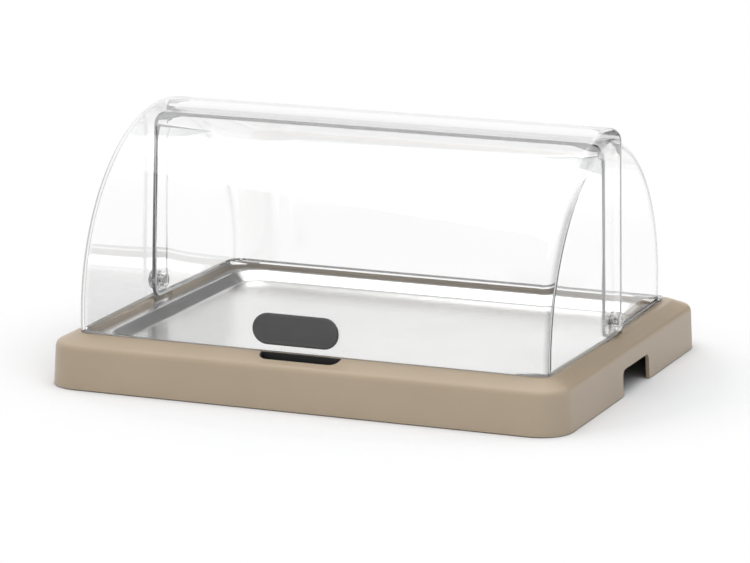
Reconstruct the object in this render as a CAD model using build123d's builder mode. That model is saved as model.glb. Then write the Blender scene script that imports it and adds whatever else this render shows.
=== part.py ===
from build123d import *
import math
import os

os.makedirs("parts", exist_ok=True)

# Roll-top buffet display. Millimetres, +X right, -Y front, +Z up.
# The origin lies on the table, under the middle of the base.

# Base shell, a moulded tray surround
base_half_length = 220.0
base_half_depth = 177.0
base_corner = 27.0
base_wall = 3.0
base_lift = 0.8
wall_draft = 3.0
rim_height = 42.0
crease_drop = 6.7
crest_inset_x = 16.4
crest_inset_y = 21.0
crest_corner = 12.0

# Recess in the base, with the ledge that carries the tray
recess_inset_x = 25.0
recess_inset_y = 26.0
recess_corner = 18.0
tray_ledge_depth = 4.8
tray_ledge_width = 8.0
ledge_thickness = 3.0

# Hand grips in the end walls, and the finger hole in the front band with its cup
grip_width = 66.0
grip_height = 21.5
grip_offset = 6.0
grip_corner = 6.0
finger_hole_length = 68.0
finger_hole_reach = 11.5
finger_hole_corner = 8.0
finger_hole_offset = -4.0
cup_depth = 12.8
cup_wall = 1.2
cup_set_down = 0.4

# Serving tray, pressed from sheet
tray_gap = 0.5
tray_sheet = 0.8
dish_inset = 11.0
dish_depth = 8.0
dish_slope_run = 8.0
dish_corner = 25.0

# Inner tub and what stands in it
tub_gap = 1.0
tub_wall = 2.5
tub_floor_height = 5.0
tub_flange_width = 9.0
foot_radius = 10.0
foot_top_radius = 12.0
foot_inset_x = 70.0
foot_inset_y = 72.0
screw_radius = 1.5
screw_play = 0.05
screw_bite = 2.4
screw_head_radius = 3.0
screw_head_height = 2.0
screw_inset = 4.5
screw_hole_radius = 1.75
screw_spread_x = 95.0
screw_spread_y = 95.0
pack_gap = 2.5
plug_gap = 2.7
pack_corner = 14.0
pack_edge = 4.0
plug_radius = 11.0
plug_height = 2.0
plug_neck_radius = 8.0
plug_neck_depth = 5.0
plug_inset = 26.0

# Clear cover halves, both turning about one axis above the rim
pivot_above_rim = 12.5
cover_sheet = 2.5
cover_inset = 22.4
nest_step = 9.0
hinge_inset = 17.0
hinge_space = 2.5
front_cone = 0.0209
rear_cone = 0.0253
cover_corner = 10.0
edge_past_pivot = 16.0
edge_corner = 10.0
cover_gap = 0.4
nest_gap = 0.5
lip_thickness = 2.0
lip_start = 20.0

# Pivots, one at each end
pin_radius = 2.5
pin_play = 0.05
knob_radius = 7.8
knob_thickness = 4.0
knob_flutes = 20
flute_radius = 0.9
pin_recess = 0.6
side_gap = 0.3
cap_radius = 6.0
cap_thickness = 3.0
bracket_half_width = 8.0
tongue_half_width = 6.0
tongue_depth = 6.0
slot_play = 0.15
pocket_half_width = 19.0
pocket_margin = 0.5
sweep_gap = 0.5
pocket_block_wall = 4.0

# Grip badge on the front half
badge_length = 73.0
badge_height = 25.0
badge_offset = -9.0
badge_rise = 18.5
badge_thickness = 2.2
pad_thickness = 0.4
pad_margin = 1.5

# Worked out from the sizes above
crest_half_length = base_half_length - crest_inset_x
crest_half_depth = base_half_depth - crest_inset_y
recess_half_length = base_half_length - recess_inset_x
recess_half_depth = base_half_depth - recess_inset_y
dish_half_length = recess_half_length - dish_inset
dish_half_depth = recess_half_depth - dish_inset
front_radius = base_half_depth - cover_inset
rear_radius = front_radius - nest_step
front_hinge_half = base_half_length - hinge_inset
rear_hinge_half = front_hinge_half - cover_sheet - hinge_space
pivot_height = rim_height + pivot_above_rim
crease_height = rim_height - crease_drop
cup_under = rim_height - cup_depth
crease_inset = (crease_height - base_lift) * math.tan(math.radians(wall_draft))
ledge_height = rim_height - tray_ledge_depth
ledge_under = ledge_height - ledge_thickness
cover_foot = rim_height + cover_gap
tub_half_length = recess_half_length - tray_ledge_width - tub_gap
tub_half_depth = recess_half_depth - tray_ledge_width - tub_gap
tub_corner = recess_corner
flange_under = ledge_under - tub_wall
tub_floor_top = tub_floor_height + tub_wall
screw_x = tub_half_length + tub_gap + screw_inset
screw_y = tub_half_depth + tub_gap + screw_inset
screw_places = [
    (x_side * x, y_side * y)
    for x, y in ((screw_x, screw_spread_y), (screw_spread_x, screw_y))
    for x_side in (-1, 1)
    for y_side in (-1, 1)
]
pack_half_length = (2 * (tub_half_length - tub_wall) - 3 * pack_gap) / 4
pack_half_depth = tub_half_depth - tub_wall - pack_gap
pack_centre = pack_half_length + pack_gap / 2
pack_top = ledge_height - dish_depth - plug_gap - plug_height
corner_gap = math.hypot(edge_past_pivot - edge_corner, pivot_above_rim - cover_gap - edge_corner)
sweep_radius = corner_gap + edge_corner
pocket_floor = pivot_height - sweep_radius - sweep_gap
bracket_reach = math.hypot(bracket_half_width, pivot_height - pocket_floor)
bracket_inner = rear_hinge_half + side_gap
bracket_outer = front_hinge_half - cover_sheet - front_cone * bracket_reach - side_gap
pivot_axis = Axis((0, 0, pivot_height), (1, 0, 0))


def rounded(half_length, half_depth, corner):
    RectangleRounded(2 * half_length, 2 * half_depth, corner)


def taper(low, low_inset, high, half_length, half_depth, corner, mode):
    """Ruled band between the outline at one height and a smaller rounded outline above it."""
    with BuildSketch(Plane.XY.offset(low)) as foot_outline:
        rounded(base_half_length - low_inset, base_half_depth - low_inset, base_corner - low_inset)
    with BuildSketch(Plane.XY.offset(high)) as top_outline:
        rounded(half_length, half_depth, corner)
    loft(sections=[foot_outline.sketch, top_outline.sketch], mode=mode)


def base_body(inset, drop, mode):
    """Stacked tapers: the drafted wall up to the crease, then the sloped band up to the rim."""
    crease = crease_height - drop
    side = inset + crease_inset
    taper(base_lift, inset, crease, base_half_length - side, base_half_depth - side,
          base_corner - side, mode)
    taper(crease, side, rim_height - drop, crest_half_length, crest_half_depth, crest_corner, mode)


def finger_prism(inset, low, mode):
    """Upright prism of the finger hole's outline, with its front corners rounded."""
    with BuildSketch(Plane.XY.offset(low)) as outline:
        with Locations((finger_hole_offset, -front_radius - finger_hole_reach / 2)):
            Rectangle(finger_hole_length - 2 * inset, finger_hole_reach - 2 * inset)
        fillet(outline.vertices().group_by(Axis.Y)[0], finger_hole_corner - inset)
    extrude(outline.sketch, amount=rim_height, mode=mode)


with BuildPart() as base_shell:
    base_body(0, 0, Mode.ADD)
    base_body(base_wall, base_wall, Mode.SUBTRACT)
    # Recess wall and tray ledge
    with BuildSketch(Plane.XY.offset(ledge_under)):
        rounded(recess_half_length + base_wall, recess_half_depth + base_wall, recess_corner + base_wall)
    extrude(amount=rim_height - base_wall / 2 - ledge_under)
    # Solid ground under the two hinge pockets
    for side in (-1, 1):
        block_end = front_hinge_half + 2 * pocket_margin
        block_half = (block_end - recess_half_length) / 2
        with BuildSketch(Plane.XY.offset(pocket_floor - base_wall)):
            with Locations((side * (recess_half_length + block_half), 0)):
                Rectangle(2 * block_half, 2 * (pocket_half_width + pocket_block_wall))
        extrude(amount=rim_height - base_wall / 2 - pocket_floor + base_wall)
    with BuildSketch(Plane.XY.offset(ledge_height)):
        rounded(recess_half_length, recess_half_depth, recess_corner)
    extrude(amount=rim_height, mode=Mode.SUBTRACT)
    with BuildSketch(Plane.XY):
        rounded(recess_half_length - tray_ledge_width, recess_half_depth - tray_ledge_width,
                recess_corner)
    extrude(amount=rim_height + base_wall, mode=Mode.SUBTRACT)
    # Hinge pockets, with a slot each for the bracket's tongue
    for side in (-1, 1):
        pocket_end = front_hinge_half + pocket_margin
        pocket_half = (pocket_end - recess_half_length + base_wall) / 2
        with BuildSketch(Plane.XY.offset(pocket_floor)):
            with Locations((side * (pocket_end - pocket_half), 0)):
                Rectangle(2 * pocket_half, 2 * pocket_half_width)
        extrude(amount=rim_height, mode=Mode.SUBTRACT)
        with BuildSketch(Plane.XY.offset(ledge_under - base_wall)):
            with Locations((side * (bracket_inner + bracket_outer) / 2, 0)):
                Rectangle(bracket_outer - bracket_inner + 2 * slot_play,
                          2 * (tongue_half_width + slot_play))
        extrude(amount=rim_height, mode=Mode.SUBTRACT)
    # Hand grips, open at the bottom
    with BuildSketch(Plane.YZ) as grip:
        with Locations((grip_offset, base_lift)):
            Rectangle(grip_width, 2 * (grip_height - base_lift))
        fillet(grip.vertices().group_by(Axis.Y)[-1], grip_corner)
    extrude(amount=base_half_length + base_wall, both=True, mode=Mode.SUBTRACT)
    # Finger hole in the front band
    finger_prism(0, cup_under, Mode.SUBTRACT)
    # Pilot holes for the tub screws, blind from below
    with BuildSketch(Plane.XY.offset(ledge_under)):
        with Locations(*screw_places):
            Circle(screw_radius + screw_play)
    extrude(amount=screw_bite + screw_play, mode=Mode.SUBTRACT)
base_shell.part.label = "base_shell"
export_step(base_shell.part, "parts/base_shell.step")

# Black cup that closes the finger hole, set a little below the band's surface
with BuildPart() as finger_cup:
    base_body(0, cup_set_down, Mode.ADD)
    finger_prism(0, cup_under, Mode.INTERSECT)
    finger_prism(cup_wall, cup_under + cup_wall, Mode.SUBTRACT)
finger_cup.part.label = "finger_cup"
export_step(finger_cup.part, "parts/finger_cup.step")

with BuildPart() as inner_tub:
    with BuildSketch(Plane.XY.offset(tub_floor_height)):
        rounded(tub_half_length, tub_half_depth, tub_corner)
    extrude(amount=ledge_under - tub_floor_height)
    with BuildSketch(Plane.XY.offset(flange_under)):
        rounded(tub_half_length + tub_flange_width, tub_half_depth + tub_flange_width,
                tub_corner + tub_flange_width)
    extrude(amount=tub_wall)
    with BuildSketch(Plane.XY.offset(tub_floor_top)):
        rounded(tub_half_length - tub_wall, tub_half_depth - tub_wall, tub_corner - tub_wall)
    extrude(amount=rim_height, mode=Mode.SUBTRACT)
    with BuildSketch(Plane.XY.offset(flange_under)):
        with Locations(*screw_places):
            Circle(screw_hole_radius)
    extrude(amount=tub_wall, mode=Mode.SUBTRACT)
inner_tub.part.label = "inner_tub"
export_step(inner_tub.part, "parts/inner_tub.step")

with BuildPart() as tub_screws:
    with BuildSketch(Plane.XY.offset(flange_under - screw_head_height)):
        with Locations(*screw_places):
            Circle(screw_head_radius)
    extrude(amount=screw_head_height)
    with BuildSketch(Plane.XY.offset(flange_under)):
        with Locations(*screw_places):
            Circle(screw_radius)
    extrude(amount=tub_wall + screw_bite)
tub_screws.part.label = "tub_screws"
export_step(tub_screws.part, "parts/tub_screws.step")

# Rubber feet under the tub, wider at the top
foot_x = base_half_length - foot_inset_x
foot_y = base_half_depth - foot_inset_y
foot_places = {
    "foot_front_left": (-foot_x, -foot_y),
    "foot_front_right": (foot_x, -foot_y),
    "foot_rear_left": (-foot_x, foot_y),
    "foot_rear_right": (foot_x, foot_y),
}
for foot_name, place in foot_places.items():
    with BuildPart() as foot:
        with BuildSketch(Plane.XY):
            with Locations(place):
                Circle(foot_radius)
        with BuildSketch(Plane.XY.offset(tub_floor_height)):
            with Locations(place):
                Circle(foot_top_radius)
        loft()
    foot.part.label = foot_name
    export_step(foot.part, "parts/" + foot_name + ".step")

# Cold packs side by side on the tub floor, each with its filling plug
for side_name, side in (("left", -1), ("right", 1)):
    plug_place = (side * (pack_centre + pack_half_length - plug_inset), pack_half_depth - plug_inset)
    with BuildPart() as cold_pack:
        with BuildSketch(Plane.XY.offset(tub_floor_top)):
            with Locations((side * pack_centre, 0)):
                rounded(pack_half_length, pack_half_depth, pack_corner)
        extrude(amount=pack_top - tub_floor_top)
        chamfer(cold_pack.faces().sort_by(Axis.Z)[-1].edges(), pack_edge)
        with BuildSketch(Plane.XY.offset(pack_top - plug_neck_depth)):
            with Locations(plug_place):
                Circle(plug_neck_radius)
        extrude(amount=plug_neck_depth, mode=Mode.SUBTRACT)
    cold_pack.part.label = "cold_pack_" + side_name
    export_step(cold_pack.part, "parts/cold_pack_" + side_name + ".step")

    with BuildPart() as cold_pack_plug:
        with BuildSketch(Plane.XY.offset(pack_top - plug_neck_depth)):
            with Locations(plug_place):
                Circle(plug_neck_radius)
        extrude(amount=plug_neck_depth)
        with BuildSketch(Plane.XY.offset(pack_top)):
            with Locations(plug_place):
                Circle(plug_radius)
        extrude(amount=plug_height)
    cold_pack_plug.part.label = "cold_pack_plug_" + side_name
    export_step(cold_pack_plug.part, "parts/cold_pack_plug_" + side_name + ".step")


def dish(grow, drop, mode):
    """Shallow dish with sloped walls, narrowing from the flange down to the floor."""
    with BuildSketch(Plane.XY.offset(ledge_height + tray_sheet)) as mouth:
        rounded(dish_half_length + grow, dish_half_depth + grow, dish_corner + grow)
    with BuildSketch(Plane.XY.offset(ledge_height + tray_sheet - dish_depth - drop)) as bottom:
        rounded(dish_half_length - dish_slope_run + grow, dish_half_depth - dish_slope_run + grow,
                dish_corner - dish_slope_run + grow)
    loft(sections=[bottom.sketch, mouth.sketch], mode=mode)


with BuildPart() as serving_tray:
    with BuildSketch(Plane.XY.offset(ledge_height)):
        rounded(recess_half_length - tray_gap, recess_half_depth - tray_gap, recess_corner - tray_gap)
    extrude(amount=tray_sheet)
    dish(tray_sheet, tray_sheet, Mode.ADD)
    dish(0, 0, Mode.SUBTRACT)
serving_tray.part.label = "serving_tray"
export_step(serving_tray.part, "parts/serving_tray.step")


def drum(radius, hinge_half, cone, corner, mode):
    """Closed drum about the pivot axis: straight wall, shallow cone ends, rounded shoulders."""
    shoulder = hinge_half - cone * radius
    top = pivot_height + radius
    with BuildSketch(Plane.XZ) as profile:
        with BuildLine():
            FilletPolyline((-hinge_half, pivot_height), (-shoulder, top), (shoulder, top),
                           (hinge_half, pivot_height), radius=corner)
            Line((hinge_half, pivot_height), (-hinge_half, pivot_height))
        make_face()
    revolve(profile.sketch, axis=pivot_axis, mode=mode)


def hollow_drum(radius, hinge_half, cone):
    drum(radius, hinge_half, cone, cover_corner, Mode.ADD)
    drum(radius - cover_sheet, hinge_half - cover_sheet, cone, cover_corner - cover_sheet, Mode.SUBTRACT)


def side_cut(side, radius):
    """Keeps one side of the drum, from just past the pivot and above the rim, with a rounded corner."""
    reach = radius + edge_past_pivot
    with BuildSketch(Plane.YZ) as outline:
        with Locations((side * (reach / 2 - edge_past_pivot), cover_foot)):
            Rectangle(reach, 2 * radius, align=(Align.CENTER, Align.MIN))
        low_edge = outline.vertices().group_by(Axis.Y)[0]
        fillet(low_edge.sort_by(Axis.X)[0 if side > 0 else -1], edge_corner)
    extrude(outline.sketch, amount=front_hinge_half, both=True, mode=Mode.INTERSECT)


def pin_bore():
    with BuildSketch(Plane.YZ) as bore:
        with Locations((0, pivot_height)):
            Circle(pin_radius + pin_play)
    extrude(bore.sketch, amount=front_hinge_half, both=True, mode=Mode.SUBTRACT)


with BuildPart() as front_shell:
    hollow_drum(front_radius, front_hinge_half, front_cone)
    side_cut(-1, front_radius)
    pin_bore()
front_shell.part.label = "front_shell"
export_step(front_shell.part, "parts/front_shell.step")

# Lip round the foot of the rear half: it spans to the rim and still passes inside the front half
with BuildPart() as rear_lip:
    drum(front_radius - cover_sheet - nest_gap, front_hinge_half - cover_sheet - nest_gap, front_cone,
         cover_corner, Mode.ADD)
    drum(rear_radius - cover_sheet, rear_hinge_half - cover_sheet, rear_cone,
         cover_corner - cover_sheet, Mode.SUBTRACT)
    with BuildSketch(Plane.XY.offset(cover_foot)):
        with Locations((0, lip_start)):
            Rectangle(2 * front_hinge_half, front_radius, align=(Align.CENTER, Align.MIN))
    extrude(amount=lip_thickness, mode=Mode.INTERSECT)

with BuildPart() as rear_shell:
    hollow_drum(rear_radius, rear_hinge_half, rear_cone)
    side_cut(1, rear_radius)
    add(rear_lip.part)
    pin_bore()
rear_shell.part.label = "rear_shell"
export_step(rear_shell.part, "parts/rear_shell.step")

cap_inner = rear_hinge_half - cover_sheet - side_gap - cap_thickness
knob_inner = front_hinge_half + side_gap
pin_end = knob_inner + knob_thickness - pin_recess


def span(side, low, high):
    """Plane across the pivot axis, at the end of a span that then runs along +X."""
    return Plane.YZ.offset(low if side > 0 else -high)


for side_name, side in (("left", -1), ("right", 1)):
    with BuildPart() as pivot_pin:
        with BuildSketch(span(side, cap_inner, pin_end)):
            with Locations((0, pivot_height)):
                Circle(pin_radius)
        extrude(amount=pin_end - cap_inner)
    pivot_pin.part.label = "pivot_pin_" + side_name
    export_step(pivot_pin.part, "parts/pivot_pin_" + side_name + ".step")

    with BuildPart() as pivot_cap:
        with BuildSketch(span(side, cap_inner, cap_inner + cap_thickness)):
            with Locations((0, pivot_height)):
                Circle(cap_radius)
                Circle(pin_radius, mode=Mode.SUBTRACT)
        extrude(amount=cap_thickness)
    pivot_cap.part.label = "pivot_cap_" + side_name
    export_step(pivot_cap.part, "parts/pivot_cap_" + side_name + ".step")

    with BuildPart() as pivot_knob:
        with BuildSketch(span(side, knob_inner, knob_inner + knob_thickness)):
            with Locations((0, pivot_height)):
                Circle(knob_radius)
                with PolarLocations(knob_radius, knob_flutes):
                    Circle(flute_radius, mode=Mode.SUBTRACT)
        extrude(amount=knob_thickness)
        with BuildSketch(span(side, knob_inner, pin_end)):
            with Locations((0, pivot_height)):
                Circle(pin_radius)
        extrude(amount=pin_end - knob_inner, mode=Mode.SUBTRACT)
    pivot_knob.part.label = "pivot_knob_" + side_name
    export_step(pivot_knob.part, "parts/pivot_knob_" + side_name + ".step")

    with BuildPart() as pivot_bracket:
        with BuildSketch(span(side, bracket_inner, bracket_outer)):
            with Locations((0, pivot_height)):
                Circle(bracket_half_width)
            with Locations((0, pocket_floor)):
                Rectangle(2 * bracket_half_width, pivot_height - pocket_floor,
                          align=(Align.CENTER, Align.MIN))
                Rectangle(2 * tongue_half_width, tongue_depth, align=(Align.CENTER, Align.MAX))
            with Locations((0, pivot_height)):
                Circle(pin_radius, mode=Mode.SUBTRACT)
        extrude(amount=bracket_outer - bracket_inner)
    pivot_bracket.part.label = "pivot_bracket_" + side_name
    export_step(pivot_bracket.part, "parts/pivot_bracket_" + side_name + ".step")


def curved_plate(inner, outer, margin):
    """Stadium cut from the ring between two radii about the pivot axis."""
    with BuildSketch(Plane.XZ) as ring:
        with Locations((badge_offset, pivot_height + (inner + outer) / 2)):
            Rectangle(2 * badge_length, outer - inner)
    revolve(ring.sketch, axis=pivot_axis)
    with BuildSketch(Plane.XZ) as stadium:
        with Locations((badge_offset, rim_height + badge_rise)):
            SlotOverall(badge_length - 2 * margin, badge_height - 2 * margin)
    extrude(stadium.sketch, amount=2 * front_radius, mode=Mode.INTERSECT)


pad_face = front_radius + pad_thickness
with BuildPart() as badge_pad:
    curved_plate(front_radius, pad_face, pad_margin)
badge_pad.part.label = "badge_pad"
export_step(badge_pad.part, "parts/badge_pad.step")

with BuildPart() as grip_badge:
    curved_plate(pad_face, pad_face + badge_thickness, 0)
grip_badge.part.label = "grip_badge"
export_step(grip_badge.part, "parts/grip_badge.step")
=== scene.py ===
import math

import bmesh
import bpy
import numpy as np
from mathutils import Matrix, Vector


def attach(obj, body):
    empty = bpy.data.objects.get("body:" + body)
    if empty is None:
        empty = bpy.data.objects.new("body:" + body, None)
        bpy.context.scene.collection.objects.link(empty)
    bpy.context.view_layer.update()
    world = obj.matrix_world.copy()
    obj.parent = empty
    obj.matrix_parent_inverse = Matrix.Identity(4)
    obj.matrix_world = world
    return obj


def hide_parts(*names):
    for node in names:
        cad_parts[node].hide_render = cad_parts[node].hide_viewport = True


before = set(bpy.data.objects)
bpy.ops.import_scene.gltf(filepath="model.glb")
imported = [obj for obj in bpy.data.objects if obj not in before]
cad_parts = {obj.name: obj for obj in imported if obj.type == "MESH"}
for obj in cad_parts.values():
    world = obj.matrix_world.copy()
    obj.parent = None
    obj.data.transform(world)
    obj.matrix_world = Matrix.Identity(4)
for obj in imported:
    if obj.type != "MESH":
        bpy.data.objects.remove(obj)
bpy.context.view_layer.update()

MM = 0.001
MERGE = 0.00002  # metres; points of one piece that are closer than this become one
TINY = 0.001  # millimetres; radius of the smallest ring, where a turned form closes at its axis

# Sizes of the object, in millimetres and degrees, as the construction has them
BASE = dict(half_length=220.0, half_depth=177.0, corner=27.0, wall=3.0, lift=0.8, draft=3.0,
            crease=35.3, rim=42.0, crest_half_length=203.6, crest_half_depth=156.0,
            crest_corner=12.0, crest_back=1.0, crease_bend=5.0, crest_bend=3.0,
            inner_crest_bend=0.6, inner_crease_bend=3.0)
RECESS = dict(half_length=195.0, half_depth=151.0, corner=18.0, depth=4.8, ledge=8.0, sheet=3.0,
              bend=0.9, edge_bend=0.4)
GRIP = dict(width=66.0, height=21.5, offset=6.0, corner=6.0, wall_zone=12.0)
GRIP_SPAN = (GRIP["offset"] - GRIP["width"] / 2, GRIP["offset"] + GRIP["width"] / 2)
FINGER_HOLE = dict(length=68.0, reach=11.5, corner=8.0, offset=-4.0, low=29.2, high=60.0)
TRAY = dict(gap=0.5, sheet=0.8, half_length=184.0, half_depth=140.0, depth=8.0, run=8.0,
            corner=25.0, brim_bend=2.4, floor_bend=3.4)
COVER = dict(sheet=2.5, corner=10.0, overlap=16.0, edge_corner=10.0, edge_bevel=0.5, gap=0.4,
             pivot=54.5, pin_hole=2.55)
FRONT = dict(radius=154.6, hinge=203.0, cone=0.0209, side=-1)
REAR = dict(radius=145.6, hinge=198.0, cone=0.0253, side=1)
LIP = dict(radius=151.6, hinge=200.0, thickness=2.0, start=20.0, root=1.5)
POCKET = dict(half_width=19.0, inner=190.0, end=203.5, floor=37.5, top=60.0)
POCKET_BLOCK = dict(inner=195.5, end=206.5, wall=4.0, low=34.4, high=40.6)
BRACKET_SLOT = dict(inner=198.3, outer=199.8, half_width=6.0, play=0.15, low=30.0, high=38.0)
KNOB = dict(radius=7.8, inner=203.3, thickness=4.0, back_bend=0.7, front_bend=1.1, dish=0.7,
            dish_edge=0.62, dish_foot=0.5, dish_bend=0.5, ridges=20, ridge_depth=0.85,
            ridge_power=0.6, ridge_start=0.75)
BADGE = dict(length=73.0, height=25.0, offset=-9.0, rise=18.5, thickness=2.2, pad=0.4,
             sink=0.25, border_foot=3.2, border=2.4, border_bend=0.5, edge_bend=1.1,
             back_bend=0.3)


# Mesh helpers

def grid_faces(rows, columns, close_rows=False, close_columns=False):
    """Quads between neighbouring rows and columns of a grid, whose points run row by row."""
    r = np.arange(rows if close_rows else rows - 1)
    c = np.arange(columns if close_columns else columns - 1)
    r, c = np.meshgrid(r, c, indexing="ij")
    r2 = (r + 1) % rows
    c2 = (c + 1) % columns
    quads = [r * columns + c, r * columns + c2, r2 * columns + c2, r2 * columns + c]
    return np.stack(quads, -1).reshape(-1, 4)


def make_mesh(name, patches):
    """One object from patches of (points in mm, faces)."""
    points, faces, start = [], [], 0
    for patch_points, patch_faces in patches:
        points.append(np.asarray(patch_points, float).reshape(-1, 3))
        faces.extend((np.asarray(face) + start).tolist() for face in patch_faces)
        start += len(points[-1])
    mesh = bpy.data.meshes.new(name)
    mesh.from_pydata((np.concatenate(points) * MM).tolist(), [], faces)
    piece = bpy.data.objects.new(name, mesh)
    bpy.context.scene.collection.objects.link(piece)
    tidy_mesh(mesh)
    return piece


def tidy_mesh(mesh):
    """Merges doubles, drops faces with no area and points every face outwards."""
    work = bmesh.new()
    work.from_mesh(mesh)
    bmesh.ops.remove_doubles(work, verts=work.verts, dist=MERGE)
    bmesh.ops.dissolve_degenerate(work, edges=work.edges, dist=MERGE / 4)
    bmesh.ops.recalc_face_normals(work, faces=work.faces)
    work.to_mesh(mesh)
    work.free()


def face_up(piece):
    """Turns all faces of an open surface over if its highest one looks down."""
    top = max(piece.data.polygons, key=lambda face: face.center.z)
    if top.normal.z < 0:
        piece.data.flip_normals()


def smooth(piece, degrees):
    """Smooth shading, broken where neighbouring faces meet at more than this angle."""
    mesh = piece.data
    mesh.polygons.foreach_set("use_smooth", np.ones(len(mesh.polygons), bool))
    mesh.set_sharp_from_angle(angle=math.radians(degrees))


def apply_modifiers(piece):
    """Replaces the mesh by what its modifiers make of it."""
    depsgraph = bpy.context.evaluated_depsgraph_get()
    made = bpy.data.meshes.new_from_object(piece.evaluated_get(depsgraph))
    piece.modifiers.clear()
    piece.data = made


def thicken(piece, thickness, bevel=0.0, edge_index=0):
    """Gives a surface its wall, inwards from its faces, and rounds the wall's edges. The narrow
    faces round the edge take the material that is edge_index places on."""
    wall = piece.modifiers.new("wall", "SOLIDIFY")
    wall.thickness = thickness * MM
    wall.offset = -1
    wall.use_even_offset = True
    wall.material_offset_rim = edge_index
    if bevel:
        edge = piece.modifiers.new("edge", "BEVEL")
        edge.width = bevel * MM
        edge.segments = 2
        edge.limit_method = "ANGLE"
        edge.angle_limit = math.radians(50)
    apply_modifiers(piece)


def soft_profile(corners, radii, steps=6):
    """Polyline whose inner corners are rounded: each becomes the parabola
    (1 - t)^2 start + 2 t (1 - t) corner + t^2 end, with start and end at its radius from it."""
    corners = [np.asarray(corner, float) for corner in corners]
    rows = [corners[0]]
    for before, corner, after, radius in zip(corners, corners[1:], corners[2:], radii):
        start = corner + (before - corner) * radius / np.linalg.norm(before - corner)
        end = corner + (after - corner) * radius / np.linalg.norm(after - corner)
        t = np.linspace(0, 1, steps + 1)[:, None]
        rows.extend((1 - t) ** 2 * start + 2 * t * (1 - t) * corner + t ** 2 * end)
    rows.append(corners[-1])
    return np.array(rows)


def box_patch(low, high):
    """Closed box between two corners."""
    x, y, z = zip(low, high)
    points = [(a, b, c) for a in x for b in y for c in z]
    faces = [(0, 1, 3, 2), (4, 6, 7, 5), (0, 4, 5, 1), (2, 3, 7, 6), (0, 2, 6, 4), (1, 5, 7, 3)]
    return points, faces


def end_box(side, inner, outer, half_width, low, high):
    """Closed box across the middle line at the left (-1) or right (1) end of the object."""
    left, right = sorted((side * inner, side * outer))
    return box_patch((left, -half_width, low), (right, half_width, high))


def cut(piece, tool, operation):
    """Joins a tool to a piece or cuts the piece with it, and removes the tool."""
    step = piece.modifiers.new("cut", "BOOLEAN")
    step.operation = operation
    step.object = tool
    step.solver = "EXACT"
    apply_modifiers(piece)
    bpy.data.objects.remove(tool)


# Outline of a rounded rectangle, with the same columns at every height

CORNER_POINTS = 14


def ring(rows, long_stops, deep_stops):
    """Each row (half length, half depth, corner, height) becomes a rounded rectangle: straight
    sides with points at fixed places, and quarter circles of the row's corner radius between
    them, (half - corner + corner cos(turn), half - corner + corner sin(turn))."""
    rows = np.atleast_2d(rows)
    half_x, half_y, corner, height = (rows[:, i:i + 1] for i in range(4))
    turn = np.linspace(0, np.pi / 2, CORNER_POINTS)[None, :]
    arc_x = half_x - corner + corner * np.cos(turn)
    arc_y = half_y - corner + corner * np.sin(turn)
    deep = np.clip(deep_stops[None, :], -(half_y - corner), half_y - corner)
    along = np.clip(long_stops[None, :], -(half_x - corner), half_x - corner)
    x = [half_x + 0 * deep, arc_x, along[:, ::-1], -arc_x[:, ::-1],
         -half_x + 0 * deep, -arc_x, along, arc_x[:, ::-1]]
    y = [deep, arc_y, half_y + 0 * along, arc_y[:, ::-1],
         deep[:, ::-1], -arc_y, -half_y + 0 * along, -arc_y[:, ::-1]]
    x, y = np.concatenate(x, 1), np.concatenate(y, 1)
    return np.stack([x, y, height + 0 * x], -1)


# Base shell

def grip_edge(points):
    """Height of the bottom edge. In the end walls it follows the two hand grips, bottom-open
    windows whose upper corners are quarter circles; elsewhere it lies at the lift."""
    x, y = points[..., 0], points[..., 1]
    low, high = GRIP_SPAN
    corner = GRIP["corner"]
    inside = np.minimum(y - low, high - y)
    dip = corner - np.sqrt(np.clip(corner ** 2 - (corner - inside) ** 2, 0, None))
    edge = GRIP["height"] - np.where(inside < corner, dip, 0)
    in_end_wall = np.abs(x) > BASE["half_length"] - GRIP["wall_zone"]
    return np.where(in_end_wall & (inside >= 0), edge, BASE["lift"])


def base_rows():
    """Half length, half depth, corner and height of each ring of the closed section: from the
    foot up to the crease, over the sloped band and the rim, down the recess wall, in along the
    tray ledge, and back underneath."""
    b, r, wall = BASE, RECESS, BASE["wall"]
    lean = (b["crease"] - b["lift"]) * math.tan(math.radians(b["draft"]))
    ledge = b["rim"] - r["depth"]
    under_ledge = ledge - r["sheet"]
    under_rim = b["rim"] - wall
    foot = np.array([b["half_length"], b["half_depth"], b["corner"], b["lift"]])
    crease = np.array([*(foot[:3] - lean), b["crease"]])
    crest = np.array([b["crest_half_length"], b["crest_half_depth"], b["crest_corner"]])
    recess = np.array([r["half_length"], r["half_depth"], r["corner"]])
    ledge_edge = recess - (r["ledge"], r["ledge"], 0)
    corners = [
        foot,
        crease,
        (*crest, b["rim"]),
        (*recess, b["rim"]),
        (*recess, ledge),
        (*ledge_edge, ledge),
        (*ledge_edge, under_ledge),
        (*(recess + wall), under_ledge),
        (*(recess + wall), under_rim),
        (*(crest - (b["crest_back"], b["crest_back"], 0)), under_rim),
        crease - (wall, wall, wall, wall / 2),
        foot - (wall, wall, wall, 0),
    ]
    bends = [b["crease_bend"], b["crest_bend"], r["bend"], r["bend"], *4 * [r["edge_bend"]],
             b["inner_crest_bend"], b["inner_crease_bend"]]
    return soft_profile(corners, bends)


def raise_foot(foot, next_row):
    """Moves the points of an edge ring up along the wall to the height of the grip windows."""
    share = (grip_edge(foot) - foot[:, 2]) / (next_row[:, 2] - foot[:, 2])
    return foot + (next_row - foot) * share[:, None]


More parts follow.
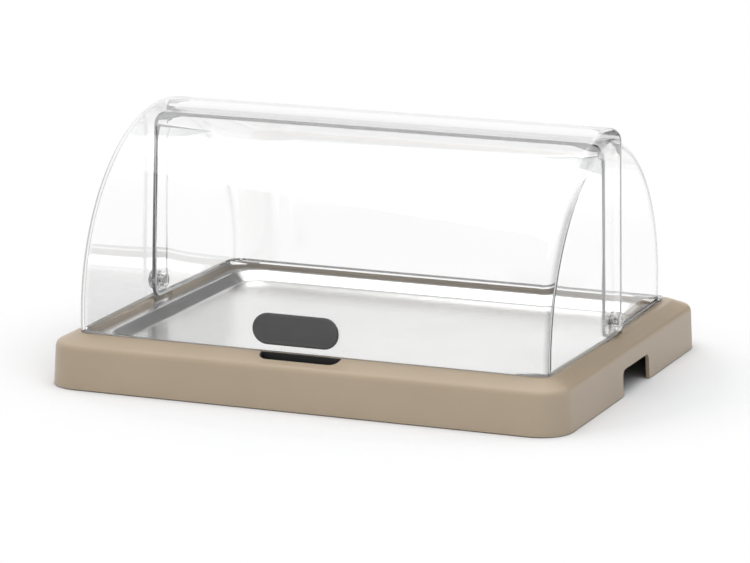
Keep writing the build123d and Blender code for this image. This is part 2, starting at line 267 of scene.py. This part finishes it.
def base_stops():
    """Places of the points along the front and along the ends. Those along the ends lie closer
    together at the grips' corners, at corner * (1 - cos(turn)) from each end of a grip."""
    low, high = GRIP_SPAN
    bend = GRIP["corner"] * (1 - np.cos(np.linspace(0, np.pi / 2, 7)))
    just_outside = 0.05
    front_part, grip_middle, rear_part = [-136, -90, -50], [-5, 15], [70, 105, 136]
    ends = np.concatenate([front_part, [low - just_outside], low + bend, grip_middle,
                           high - bend[::-1], [high + just_outside], rear_part])
    return np.linspace(-180, 180, 13), ends


def make_base_shell():
    """The rings of base_rows closed on themselves, with a block under each hinge pocket, and with
    hinge pockets, bracket slots and finger hole cut."""
    pocket, block, slot = POCKET, POCKET_BLOCK, BRACKET_SLOT
    points = ring(base_rows(), *base_stops())
    points[0] = raise_foot(points[0], points[1])
    points[-1] = raise_foot(points[-1], points[-2])
    shell = make_mesh("moulded_base", [(points, grid_faces(*points.shape[:2], True, True))])
    blocks = []
    cutters = []
    for side in (-1, 1):
        blocks.append(end_box(side, block["inner"], block["end"],
                              pocket["half_width"] + block["wall"], block["low"], block["high"]))
        cutters.append(end_box(side, pocket["inner"], pocket["end"],
                               pocket["half_width"], pocket["floor"], pocket["top"]))
        cutters.append(end_box(side, slot["inner"] - slot["play"], slot["outer"] + slot["play"],
                               slot["half_width"] + slot["play"], slot["low"], slot["high"]))
    for patch in blocks:
        cut(shell, make_mesh("block", [patch]), "UNION")
    for patch in cutters:
        cut(shell, make_mesh("cutter", [patch]), "DIFFERENCE")
    cut(shell, finger_hole_tool(), "DIFFERENCE")
    smooth(shell, degrees=28)
    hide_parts("base_shell")
    return shell


def finger_hole_tool():
    """Upright prism: a rectangle whose two front corners are quarter circles,
    (centre + corner sin(turn), centre - corner cos(turn))."""
    f = FINGER_HOLE
    turn = np.linspace(0, np.pi / 2, 9)[::-1]
    half, back = f["length"] / 2, -FRONT["radius"]
    centre_x, centre_y = half - f["corner"], back - f["reach"] + f["corner"]
    right = np.stack([centre_x + f["corner"] * np.sin(turn),
                      centre_y - f["corner"] * np.cos(turn)], -1)
    left = right[::-1] * (-1, 1)
    outline = np.concatenate([[(half, back)], right, left, [(-half, back)]])
    outline[:, 0] += f["offset"]
    count = len(outline)
    points = [np.column_stack([outline, np.full(count, f[level])]) for level in ("low", "high")]
    faces = grid_faces(2, count, close_columns=True).tolist()
    faces += [list(range(count))[::-1], list(range(count, 2 * count))]
    return make_mesh("finger_hole_tool", [(np.concatenate(points), faces)])


# Serving tray

def make_tray():
    """Rings from the flange's edge in, down the sloped wall through soft bends, and over the
    floor to a short line at its middle."""
    t = TRAY
    top = BASE["rim"] - RECESS["depth"] + t["sheet"]
    floor = top - t["depth"]
    edge = [RECESS[key] - t["gap"] for key in ("half_length", "half_depth", "corner")]
    brink = [t[key] for key in ("half_length", "half_depth", "corner")]
    foot = [size - t["run"] for size in brink]
    # Half length, half depth and corner of the rings on the flat floor, the last almost a line
    floor_rings = [(foot[0] - 60, foot[1] - 60, 4.0), (60.0, 24.0, 2.0), (36.5, 0.01, 0.005)]
    wall = soft_profile([(*edge, top), (*brink, top), (*foot, floor), (*floor_rings[0], floor)],
                        [t["brim_bend"], t["floor_bend"]])
    rows = np.concatenate([wall, [(*size, floor) for size in floor_rings[1:]]])
    points = ring(rows, np.linspace(-155, 155, 9), np.linspace(-110, 110, 7))
    faces = grid_faces(*points.shape[:2], close_columns=True)
    tray = make_mesh("pressed_tray", [(points, faces)])
    face_up(tray)
    thicken(tray, t["sheet"])
    smooth(tray, degrees=40)
    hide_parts("serving_tray")
    return tray


# Cover halves

OUTLINE_SAMPLES = 20001
OUTLINE_POINTS = 260
SHOULDER_STEPS = 10
RAY_POINTS, RAY_CROWDING = 15, 1.3
WALL_COLUMNS = 25


def outline_reach(turn, radius, side):
    """Distance from the pivot to the rear half's outline in each direction, the smallest of: the
    arc's radius, foot / -sin(turn) to the foot just above the rim, and overlap / -cos(turn) to
    the edge just past the pivot; between those two, the far point of the ray on the corner's
    circle, p + sqrt(corner^2 - |centre|^2 + p^2) with p = centre . direction. The front half's
    outline is its mirror image."""
    c = COVER
    along, up = side * np.cos(turn), np.sin(turn)
    foot = c["pivot"] - BASE["rim"] - c["gap"]
    with np.errstate(divide="ignore", invalid="ignore"):
        reach = np.full_like(turn, radius)
        reach = np.where(up < 0, np.minimum(reach, foot / -up), reach)
        reach = np.where(along < 0, np.minimum(reach, c["overlap"] / -along), reach)
    centre_y, centre_z = -(c["overlap"] - c["edge_corner"]), -(foot - c["edge_corner"])
    projected = centre_y * along + centre_z * up
    under_root = c["edge_corner"] ** 2 - (centre_y ** 2 + centre_z ** 2) + projected ** 2
    arc = projected + np.sqrt(np.clip(under_root, 0, None))
    on_corner = (arc * along < centre_y) & (arc * up < centre_z)
    return np.where(on_corner, arc, reach)


def turn_between(first, second):
    """Smaller angle between directions."""
    return np.abs((first - second + np.pi) % (2 * np.pi) - np.pi)


def outline_turns(radius, side):
    """Directions from the pivot to points spaced evenly along the half's outline, with a point at
    each end of the arc, and which of them lie on the arc."""
    dense = np.linspace(0, 2 * np.pi, OUTLINE_SAMPLES)
    reach = outline_reach(dense, radius, side)
    y, z = reach * np.cos(dense), reach * np.sin(dense)
    length = np.concatenate([[0], np.cumsum(np.hypot(np.diff(y), np.diff(z)))])
    even = np.interp(np.linspace(0, length[-1], OUTLINE_POINTS + 1)[:-1], length, dense)
    foot = COVER["pivot"] - BASE["rim"] - COVER["gap"]
    low = -math.asin(foot / radius)
    high = math.pi / 2 + math.asin(COVER["overlap"] / radius)
    ends = np.array([low, high]) if side > 0 else np.array([math.pi - low, math.pi - high])
    corners = np.mod(ends, 2 * np.pi)
    even[np.argmin(turn_between(even[:, None], corners[None, :]), 0)] = corners
    turns = np.sort(even)
    middle = np.mod(ends.mean(), 2 * np.pi)
    on_arc = turn_between(turns, middle) <= abs(high - low) / 2 + 1e-6
    return turns, on_arc


def shoulder(half):
    """Half length x and radius r of the points round the shoulder, (centre + corner cos(turn),
    centre + corner sin(turn)), which carries on from the cone x = hinge - cone * r."""
    radius, hinge, cone, corner = half["radius"], half["hinge"], half["cone"], COVER["corner"]
    lean = math.atan(cone)
    centre_r = radius - corner
    centre_x = hinge - cone * centre_r - corner / math.cos(lean)
    turn = np.linspace(lean, np.pi / 2, SHOULDER_STEPS + 1)
    return centre_x + corner * np.cos(turn), centre_r + corner * np.sin(turn)


def lip_track(radius, hinge, cone, corner):
    """Outline of a half drum just above the rim, from a little behind one pivot to the other:
    straight along the ends, x = hinge - cone * (distance to the pivot axis), and a quarter circle
    at each rear corner."""
    drop = COVER["pivot"] - (BASE["rim"] + COVER["gap"]) - LIP["thickness"] / 2
    far = math.sqrt(radius ** 2 - drop ** 2)
    side = hinge - cone * np.hypot([LIP["start"], far - corner], drop)
    turn = np.linspace(0, np.pi / 2, 9)
    arc = np.stack([side[1] - corner + corner * np.cos(turn),
                    far - corner + corner * np.sin(turn)], -1)
    half_track = np.concatenate([[(side[0], LIP["start"])], arc])
    return np.concatenate([half_track, half_track[::-1] * (-1, 1)])


def make_lip():
    """Flat lip round the foot of the rear half: a band from within the thickness of its sheet out
    to an outline just inside the front half."""
    root, corner = LIP["root"], COVER["corner"]
    outer = lip_track(LIP["radius"], LIP["hinge"], FRONT["cone"], corner)
    inner = lip_track(REAR["radius"] - root, REAR["hinge"] - root, REAR["cone"], corner - root)
    low = BASE["rim"] + COVER["gap"]
    high = low + LIP["thickness"]
    points = np.array([np.column_stack([track, np.full(len(track), height)])
                       for track, height in ((outer, low), (outer, high),
                                             (inner, high), (inner, low))])
    rows, count = points.shape[:2]
    faces = grid_faces(rows, count, close_rows=True).tolist()
    first_end = [row * count for row in range(rows)]
    faces += [first_end, [start + count - 1 for start in first_end[::-1]]]
    return make_mesh("lip", [(points, faces)])


def make_cover(name, half, node):
    """Half drum as one surface: each end is a fan of rays from the pin hole out along the cone
    x = hinge - cone * r, round the shoulder and to the outline; the wall between the shoulders is
    a cylinder (radius cos(turn), pivot + radius sin(turn)). The sheet goes inwards."""
    side, radius, pivot, hole = half["side"], half["radius"], COVER["pivot"], COVER["pin_hole"]
    turns, on_arc = outline_turns(radius, side)
    reach = outline_reach(turns, radius, side)
    arc_x, arc_r = shoulder(half)
    share = np.linspace(0, 1, RAY_POINTS) ** RAY_CROWDING
    straight_end = np.minimum(reach, arc_r[0])
    on_cone = hole + (straight_end[:, None] - hole) * share[None, :]
    beyond = np.minimum(reach[:, None], arc_r[None, 1:])
    r = np.concatenate([on_cone, beyond], 1)
    x = np.concatenate([half["hinge"] - half["cone"] * on_cone,
                        np.interp(beyond, arc_r, arc_x)], 1)
    y, z = r * np.cos(turns)[:, None], pivot + r * np.sin(turns)[:, None]
    patches = []
    for end in (-1, 1):
        points = np.stack([end * x, y, z], -1)
        patches.append((points, grid_faces(*points.shape[:2], close_rows=True)))
    arc_turns = turns[on_arc]
    if side > 0:
        arc_turns = np.sort((arc_turns + np.pi) % (2 * np.pi)) - np.pi
    across = np.linspace(-arc_x[-1], arc_x[-1], WALL_COLUMNS)
    x, turn = np.meshgrid(across, arc_turns)
    wall = np.stack([x, radius * np.cos(turn), pivot + radius * np.sin(turn)], -1)
    patches.append((wall, grid_faces(*wall.shape[:2])))
    cover = make_mesh(name, patches)
    face_up(cover)
    for key in ("rear_sheet" if side > 0 else "front_sheet", "edge"):
        cover.data.materials.append(MATERIALS[key])
    thicken(cover, COVER["sheet"], bevel=COVER["edge_bevel"], edge_index=1)
    if side > 0:
        cut(cover, make_lip(), "UNION")
    smooth(cover, degrees=35)
    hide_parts(node)
    return cover


# Small pieces

def make_knob(side_name, side):
    """Disc turned about the pivot axis, with soft edges and a slightly dished outer face. Its rim
    dips between the ridges by ridge_depth * (1 - (0.5 + 0.5 cos(ridges * turn))^ridge_power)."""
    k = KNOB
    radius, front = k["radius"], k["thickness"]
    profile = soft_profile(
        [(0.0, TINY), (0.0, radius), (front, radius), (front, k["dish_edge"] * radius),
         (front - k["dish"], k["dish_foot"] * radius), (front - k["dish"], TINY)],
        [k["back_bend"], k["front_bend"], k["dish_bend"], k["dish_bend"]], steps=5)
    turn = np.linspace(0, 2 * np.pi, 240, endpoint=False)
    ridge = 0.5 + 0.5 * np.cos(k["ridges"] * turn)
    depth = k["ridge_depth"] * (1 - ridge ** k["ridge_power"])
    start = k["ridge_start"]
    near_rim = np.clip((profile[:, 1] / radius - start) / (1 - start), 0, 1)
    r = profile[:, 1:2] - near_rim[:, None] * depth[None, :]
    x = side * (k["inner"] + profile[:, 0:1]) + 0 * r
    points = np.stack([x, r * np.cos(turn), COVER["pivot"] + r * np.sin(turn)], -1)
    faces = grid_faces(*points.shape[:2], close_columns=True)
    knob = make_mesh("knurled_knob_" + side_name, [(points, faces)])
    smooth(knob, degrees=40)
    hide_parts("pivot_knob_" + side_name)
    return knob


def make_badge():
    """Rings round a stadium from its middle line out: the height over the cover follows a
    soft-edged profile, and the whole is wrapped on the cylinder of the front half,
    y = -sqrt((radius + height)^2 - rise^2)."""
    b = BADGE
    half_height = b["height"] / 2
    half_line = b["length"] / 2 - half_height
    face, sunk = b["thickness"], b["thickness"] - b["sink"]
    profile = soft_profile(
        [(TINY, sunk), (half_height - b["border_foot"], sunk), (half_height - b["border"], face),
         (half_height, face), (half_height, 0.0), (TINY, 0.0)],
        [b["border_bend"], b["border_bend"], b["edge_bend"], b["back_bend"]])
    half_turn = np.linspace(-np.pi / 2, np.pi / 2, 33)
    turn = np.concatenate([half_turn, half_turn + np.pi])
    centre = np.repeat([half_line, -half_line], len(half_turn))
    out = profile[:, 0:1]
    x = b["offset"] + centre[None, :] + out * np.cos(turn)[None, :]
    rise = BASE["rim"] + b["rise"] + out * np.sin(turn)[None, :] - COVER["pivot"]
    radius = FRONT["radius"] + b["pad"] + profile[:, 1:2]
    y = -np.sqrt(radius ** 2 - rise ** 2)
    points = np.stack([x, y, COVER["pivot"] + rise], -1)
    faces = grid_faces(*points.shape[:2], close_columns=True)
    badge = make_mesh("soft_touch_badge", [(points, faces)])
    smooth(badge, degrees=35)
    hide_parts("grip_badge")
    return badge


# Materials

def add_node(owner, kind, settings=None, **links):
    """Adds a node to a material or the world, sets its properties, constant inputs and colour
    stops, and links its inputs by their name, or by their number after an i."""
    tree = owner.node_tree
    made = tree.nodes.new(kind)
    for key, value in (settings or {}).items():
        if key == "stops":
            set_stops(made.color_ramp.elements, value)
        elif isinstance(key, str) and hasattr(made, key):
            setattr(made, key, value)
        else:
            made.inputs[key].default_value = value
    for key, source in links.items():
        name = int(key[1:]) if key[0] == "i" and key[1:].isdigit() else key.replace("_", " ")
        tree.links.new(source, made.inputs[name])
    return made


def set_stops(elements, stops):
    """Gives a ramp its grey levels, or linear colours of three parts, at places from 0 to 1."""
    while len(elements) < len(stops):
        elements.new(0.5)
    for element, (place, level) in zip(elements, stops):
        element.position = place
        element.color = (*np.broadcast_to(level, 3).tolist(), 1)


def link(owner, source, target):
    owner.node_tree.links.new(source, target)


def linear(code):
    """Linear colour of an sRGB hex code."""
    values = np.array([int(code[i:i + 2], 16) for i in (1, 3, 5)]) / 255
    shares = np.where(values <= 0.04045, values / 12.92, ((values + 0.055) / 1.055) ** 2.4)
    return (*shares.tolist(), 1.0)


def new_material(name, **surface):
    """Principled material with constant values on its own sockets; returns it with its shader
    and the object's coordinates."""
    material = bpy.data.materials.new(name)
    material.use_nodes = True
    shader = material.node_tree.nodes["Principled BSDF"]
    for key, value in surface.items():
        shader.inputs[key.replace("_", " ")].default_value = value
    place = add_node(material, "ShaderNodeTexCoord")
    return material, shader, place.outputs["Object"]


def grain_bump(material, shader, place, size_mm, strength, depth_mm, detail=2.0):
    """Moulded grain, or a soft waviness where its features, about size_mm across, are wide."""
    noise = add_node(material, "ShaderNodeTexNoise",
                     {"Scale": 1 / MM / size_mm, "Detail": detail}, Vector=place)
    bump = add_node(material, "ShaderNodeBump",
                    {"Strength": strength, "Distance": depth_mm * MM}, Height=noise.outputs["Fac"])
    link(material, bump.outputs["Normal"], shader.inputs["Normal"])


def tint(material, shader, place, low, high, size_mm):
    """Slow change of colour between two hex codes over patches of size_mm."""
    noise = add_node(material, "ShaderNodeTexNoise",
                     {"Scale": 1 / MM / size_mm, "Detail": 3.0}, Vector=place)
    colour = add_node(material, "ShaderNodeValToRGB",
                      {"stops": [(0.35, linear(low)[:3]), (0.65, linear(high)[:3])]},
                      Fac=noise.outputs["Fac"])
    link(material, colour.outputs["Color"], shader.inputs["Base Color"])


def satin_abs():
    # Moulded ABS with a fine spark-eroded grain: soft highlights and an even warm taupe
    material, shader, place = new_material("satin_moulded_abs", Roughness=0.36, IOR=1.53)
    tint(material, shader, place, "#A99882", "#AC9B85", size_mm=60)
    grain_bump(material, shader, place, size_mm=0.6, strength=0.25, depth_mm=0.03)
    return material


def black_abs():
    # Black moulded plastic with a coarser grain, nearly matt
    material, shader, place = new_material("black_moulded_abs", Roughness=0.6, IOR=1.53)
    tint(material, shader, place, "#161616", "#1B1B1B", size_mm=40)
    grain_bump(material, shader, place, size_mm=0.9, strength=0.4, depth_mm=0.05)
    return material


def clear_plastic(name, colour, roughness):
    # Polycarbonate: water-clear and strongly refracting, greying only over a long way through it
    material, shader, place = new_material(name, Roughness=roughness, IOR=1.585,
                                           Transmission_Weight=1.0, Base_Color=linear(colour))
    grain_bump(material, shader, place, size_mm=45.0, strength=0.12, depth_mm=0.02, detail=1.0)
    depth = add_node(material, "ShaderNodeVolumeAbsorption",
                     {"Color": linear("#C8CCCC"), "Density": 6.0})
    output = material.node_tree.nodes["Material Output"]
    link(material, depth.outputs["Volume"], output.inputs["Volume"])
    return material, shader, place


def sheet_with_painted_reflection_line(name, radius, left, right):
    # Polycarbonate sheet with a painted reflection: a soft grey line in its colour on the bent
    # shoulder, as a shoulder looks beside dark panels. The line lies between the end wall and the
    # drum, by the distance from the pivot axis, is as deep as left and right say at the two ends,
    # and fades at the crown
    material, shader, place = clear_plastic(name, "#FFFFFF", 0.0)
    # Millimetres either side of the middle in which one depth becomes the other, and the heights
    # at which the fade begins and ends
    middle, fade_start, fade_end = 10.0, 160.0, 195.0
    split = add_node(material, "ShaderNodeSeparateXYZ", i0=place)
    from_axis = add_node(material, "ShaderNodeMapping",
                         {"Location": (0.0, 0.0, -COVER["pivot"] * MM), "Scale": (0.0, 1.0, 1.0)},
                         Vector=place)
    reach = add_node(material, "ShaderNodeVectorMath", {"operation": "LENGTH"},
                     i0=from_axis.outputs[0])
    bend = add_node(material, "ShaderNodeMapRange",
                    {"From Min": (radius - COVER["corner"]) * MM, "From Max": radius * MM},
                    Value=reach.outputs["Value"])
    line = add_node(material, "ShaderNodeValToRGB",
                    {"stops": [(0.1, 0.0), (0.28, 1.0), (0.42, 1.0), (0.62, 0.0)]},
                    Fac=bend.outputs["Result"])
    side = add_node(material, "ShaderNodeMapRange",
                    {"From Min": -middle * MM, "From Max": middle * MM,
                     "To Min": left, "To Max": right}, Value=split.outputs["X"])
    fade = add_node(material, "ShaderNodeMapRange",
                    {"From Min": fade_start * MM, "From Max": fade_end * MM,
                     "To Min": 1.0, "To Max": 0.0}, Value=split.outputs["Z"])
    depth = line.outputs["Color"]
    for share in (side, fade):
        depth = add_node(material, "ShaderNodeMath", {"operation": "MULTIPLY"},
                         i0=depth, i1=share.outputs["Result"]).outputs[0]
    # Painted reflection: the sheet's white colour is darkened by the depth of the painted grey line
    clear = add_node(material, "ShaderNodeMath", {"operation": "SUBTRACT", 0: 1.0}, i1=depth)
    link(material, clear.outputs[0], shader.inputs["Base Color"])
    return material


def sawn_edge():
    # Sawn polycarbonate edge: fine saw marks scatter the light, so the edge reads as pale grey
    material, shader, place = new_material("sawn_polycarbonate_edge", Roughness=0.5, IOR=1.585,
                                           Transmission_Weight=0.2, Base_Color=linear("#F0F1F1"))
    grain_bump(material, shader, place, size_mm=0.5, strength=0.3, depth_mm=0.02)
    return material


def satin_stainless():
    # 18/10 steel pressed from rolled sheet: fine lines along its length, soft wide reflections. The
    # real lines are finer than a pixel, so they are drawn as coarse as they need to show
    material, shader, place = new_material("rolled_stainless", Metallic=1.0)
    line_length, line_width = 100 / 3, 5 / 6  # Millimetres
    across = line_length / line_width
    stretch = add_node(material, "ShaderNodeMapping", {"Scale": (1.0, across, across)},
                       Vector=place)
    lines = add_node(material, "ShaderNodeTexNoise",
                     {"Scale": 1 / MM / line_length, "Detail": 4.0}, Vector=stretch.outputs[0])
    bump = add_node(material, "ShaderNodeBump", {"Strength": 0.08, "Distance": 0.02 * MM},
                    Height=lines.outputs["Fac"])
    link(material, bump.outputs["Normal"], shader.inputs["Normal"])
    rough = add_node(material, "ShaderNodeMapRange", {"To Min": 0.18, "To Max": 0.26},
                     Value=lines.outputs["Fac"])
    link(material, rough.outputs["Result"], shader.inputs["Roughness"])
    tint(material, shader, place, "#EBEBEA", "#F0F0EF", size_mm=80)
    return material


def turned_steel(name, low, high, roughness):
    # Turned or plated steel with a faint mottled surface
    material, shader, place = new_material(name, Metallic=1.0, Roughness=roughness)
    tint(material, shader, place, low, high, size_mm=3)
    return material


def moulded(name, low, high, roughness, grain_mm):
    # Moulded plastic, rubber or foam with a visible skin grain
    material, shader, place = new_material(name, Roughness=roughness, IOR=1.5)
    tint(material, shader, place, low, high, size_mm=25)
    grain_bump(material, shader, place, grain_mm, strength=0.35, depth_mm=0.05)
    return material


MATERIALS = {
    "abs": satin_abs(),
    "black": black_abs(),
    # Both sheets carry a painted reflection, a grey line on the shoulders; left and right give its
    # depth at the two ends
    "front_sheet": sheet_with_painted_reflection_line("front_polycarbonate_sheet_painted_reflection", FRONT["radius"], left=0.65, right=0.5),
    "rear_sheet": sheet_with_painted_reflection_line("rear_polycarbonate_sheet_painted_reflection", REAR["radius"], left=0.12, right=0.68),
    "edge": sawn_edge(),
    "clear": clear_plastic("moulded_polycarbonate", "#FCFCFC", roughness=0.06)[0],
    "stainless": satin_stainless(),
    "pin": turned_steel("turned_stainless", "#BDBDBB", "#C4C4C2", roughness=0.22),
    "zinc": turned_steel("zinc_plated_steel", "#A9ABA8", "#B9BAB4", roughness=0.35),
    "rubber": moulded("black_rubber", "#1D1D1D", "#242424", 0.8, grain_mm=0.8),
    "pack": moulded("blow_moulded_polyethylene", "#2F6FB0", "#3474B5", 0.4, grain_mm=1.2),
    "cap": moulded("white_polypropylene", "#D9DADB", "#DFE0E1", 0.4, grain_mm=0.8),
    "soft": moulded("soft_touch_elastomer", "#434343", "#484848", 0.5, grain_mm=0.5),
    "tape": moulded("foam_tape", "#2A2A2A", "#303030", 0.9, grain_mm=0.4),
}

CAD_FINISH = {
    # The finger cup is black as painted shade: it stands in for the darkness deep inside the finger
    # hole
    "black": ("inner_tub", "finger_cup"),
    "zinc": ("tub_screws",),
    "tape": ("badge_pad",),
    "rubber": ("foot_front_left", "foot_front_right", "foot_rear_left", "foot_rear_right"),
    "pack": ("cold_pack_left", "cold_pack_right"),
    "cap": ("cold_pack_plug_left", "cold_pack_plug_right"),
    "pin": ("pivot_pin_left", "pivot_pin_right"),
    "clear": ("pivot_cap_left", "pivot_cap_right", "pivot_bracket_left", "pivot_bracket_right"),
}


def ride_and_finish(piece, body, key=None):
    """Gives a piece its material, where it has none yet and the body it rides on."""
    if key:
        piece.data.materials.append(MATERIALS[key])
    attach(piece, body)


for key, node_names in CAD_FINISH.items():
    for node_name in node_names:
        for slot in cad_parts[node_name].material_slots:
            slot.material = MATERIALS[key]

ride_and_finish(make_base_shell(), "base", "abs")
ride_and_finish(make_tray(), "tray", "stainless")
ride_and_finish(make_cover("clear_front_half", FRONT, "front_shell"), "cover_front")
ride_and_finish(make_cover("clear_rear_half", REAR, "rear_shell"), "cover_rear")
for side_name, side in (("left", -1), ("right", 1)):
    ride_and_finish(make_knob(side_name, side), "cover_mount", "clear")
ride_and_finish(make_badge(), "cover_front", "soft")


# Studio: a white floor, a world that is seen as white, and two soft panels overhead

def seen_directly(owner):
    """1 for camera, glossy and transmitted rays, which see the white studio, and 0 for the rest."""
    path = add_node(owner, "ShaderNodeLightPath")
    total = path.outputs["Is Camera Ray"]
    for kind in ("Is Glossy Ray", "Is Transmission Ray"):
        total = add_node(owner, "ShaderNodeMath", {"operation": "MAXIMUM"},
                         i0=total, i1=path.outputs[kind]).outputs[0]
    return total


def dark_patch(world, direction, aim, level, near, far):
    """Level within the cosine near of an aim direction, 1 beyond the cosine far."""
    dot = add_node(world, "ShaderNodeVectorMath",
                   {"operation": "DOT_PRODUCT", 1: Vector(aim).normalized()}, i0=direction)
    patch = add_node(world, "ShaderNodeValToRGB", {"stops": [(far, 1.0), (near, level)]},
                     Fac=dot.outputs["Value"])
    return patch.outputs["Color"]


def make_world():
    """Diffuse light comes more from above and from the left. Camera, mirrored and refracted rays
    see white instead, with a slightly dimmer ring part way up and two gaps in the backdrop."""
    world = bpy.data.worlds.new("studio")
    bpy.context.scene.world = world
    world.use_nodes = True
    plain = world.node_tree.nodes["Background"]
    output = world.node_tree.nodes["World Output"]
    seen = add_node(world, "ShaderNodeBackground")
    direction = add_node(world, "ShaderNodeTexCoord").outputs["Generated"]
    height = add_node(world, "ShaderNodeSeparateXYZ", i0=direction).outputs["Z"]
    product = {"data_type": "RGBA", "blend_type": "MULTIPLY", "Factor": 1.0}
    above = add_node(world, "ShaderNodeValToRGB", {"stops": [(0.0, 0.62), (1.0, 0.95)]},
                     Fac=height)
    right_side = dark_patch(world, direction, aim=(1, 0, 0), level=(0.40, 0.46, 0.54),
                            near=0.95, far=0.3)
    light = add_node(world, "ShaderNodeMix", product, A=above.outputs["Color"], B=right_side)
    link(world, light.outputs["Result"], plain.inputs["Color"])
    dim_ring = add_node(world, "ShaderNodeValToRGB",
                        {"stops": [(0.24, 1.0), (0.36, 0.96), (0.62, 0.96), (0.8, 1.0)]},
                        Fac=height)
    backdrop = dim_ring.outputs["Color"]
    for gap in (dark_patch(world, direction, aim=(0.27, 0.87, 0.4), level=0.0,
                           near=0.95, far=0.89),
                dark_patch(world, direction, aim=(-0.37, 0.7, 0.6), level=0.75,
                           near=0.985, far=0.96)):
        backdrop = add_node(world, "ShaderNodeMix", product, A=backdrop, B=gap).outputs["Result"]
    link(world, backdrop, seen.inputs["Color"])
    mix = add_node(world, "ShaderNodeMixShader", i0=seen_directly(world), i1=plain.outputs[0],
                   i2=seen.outputs[0])
    link(world, mix.outputs[0], output.inputs["Surface"])


# Half width of the floor in millimetres, half axes in metres of the oval in which it is shaded,
# and how many times as far out it has turned into plain white
FLOOR = dict(half=6000.0, shaded=(0.28, 0.24), white=1.35)


def make_floor():
    """Flat square under the object, far larger than the view. It is shaded near the object, where
    the shadow lies, and turns into plain white further out where it is seen."""
    half = FLOOR["half"]
    points = [(-half, -half, 0), (half, -half, 0), (half, half, 0), (-half, half, 0)]
    floor = make_mesh("floor", [(points, [(0, 1, 2, 3)])])
    face_up(floor)
    material, shader, place = new_material("white_floor", Roughness=0.9, Specular_IOR_Level=0.0,
                                           Base_Color=linear("#DEDEDE"))
    output = material.node_tree.nodes["Material Output"]
    glow = add_node(material, "ShaderNodeEmission", {"Strength": 1.0})
    along, across = FLOOR["shaded"]
    oval = add_node(material, "ShaderNodeMapping", {"Scale": (1 / along, 1 / across, 1.0)},
                    Vector=place)
    reach = add_node(material, "ShaderNodeVectorMath", {"operation": "LENGTH"},
                     i0=oval.outputs[0])
    outside = add_node(material, "ShaderNodeMapRange",
                       {"From Min": 1.0, "From Max": FLOOR["white"]},
                       Value=reach.outputs["Value"])
    white = add_node(material, "ShaderNodeMath", {"operation": "MULTIPLY"},
                     i0=seen_directly(material), i1=outside.outputs["Result"])
    mix = add_node(material, "ShaderNodeMixShader", i0=white.outputs[0], i1=shader.outputs[0],
                   i2=glow.outputs[0])
    link(material, mix.outputs[0], output.inputs["Surface"])
    floor.data.materials.append(material)


def make_lamp(name, place, target, width, depth, power, mirrored=True):
    """Soft panel facing its target, in metres and watts; one that isn't mirrored gives light but
    no reflection of itself."""
    light = bpy.data.lights.new(name, "AREA")
    light.shape = "RECTANGLE"
    light.size = width
    light.size_y = depth
    light.energy = power
    lamp = bpy.data.objects.new(name, light)
    bpy.context.scene.collection.objects.link(lamp)
    lamp.location = place
    lamp.rotation_mode = "QUATERNION"
    lamp.rotation_quaternion = (Vector(target) - Vector(place)).to_track_quat("-Z", "Y")
    lamp.visible_glossy = mirrored


# The camera stands where the photograph's lines say, in degrees and millimetres: turned, tilted
# and rolled about the object's origin, at a distance, and shifted right and up
CAMERA = dict(azimuth=21.867, elevation=12.359, roll=0.253, distance=3230.8, right=-3.86,
              up=68.2, focal_px=3931.5, width_px=750.0, sensor=36.0)


def make_camera():
    """Camera whose axes are the object's, turned by azimuth and elevation and then rolled."""
    c = CAMERA
    a, e, r = (math.radians(c[key]) for key in ("azimuth", "elevation", "roll"))
    back = Vector((math.sin(a) * math.cos(e), -math.cos(a) * math.cos(e), math.sin(e)))
    level = Vector((math.cos(a), math.sin(a), 0))
    upright = back.cross(level)
    right = level * math.cos(r) + upright * math.sin(r)
    up = upright * math.cos(r) - level * math.sin(r)
    place = (back * c["distance"] + right * c["right"] + up * c["up"]) * MM
    data = bpy.data.cameras.new("camera")
    data.sensor_width = c["sensor"]
    data.lens = c["focal_px"] / c["width_px"] * c["sensor"]
    camera = bpy.data.objects.new("camera", data)
    bpy.context.scene.collection.objects.link(camera)
    turned = Matrix((right, up, back)).transposed().to_4x4()
    camera.matrix_world = Matrix.Translation(place) @ turned
    bpy.context.scene.camera = camera


make_world()
make_floor()
LAMP_TARGET = (0, 0, 0.05)
make_lamp("overhead_softbox", (0.08, -0.1, 1.5), LAMP_TARGET, width=1.6, depth=2.2, power=11.0)
make_lamp("overhead_fill", (0.08, -0.1, 1.48), LAMP_TARGET, width=1.2, depth=2.0, power=9.0,
          mirrored=False)
make_camera()
bpy.context.scene.view_settings.view_transform = "Standard"
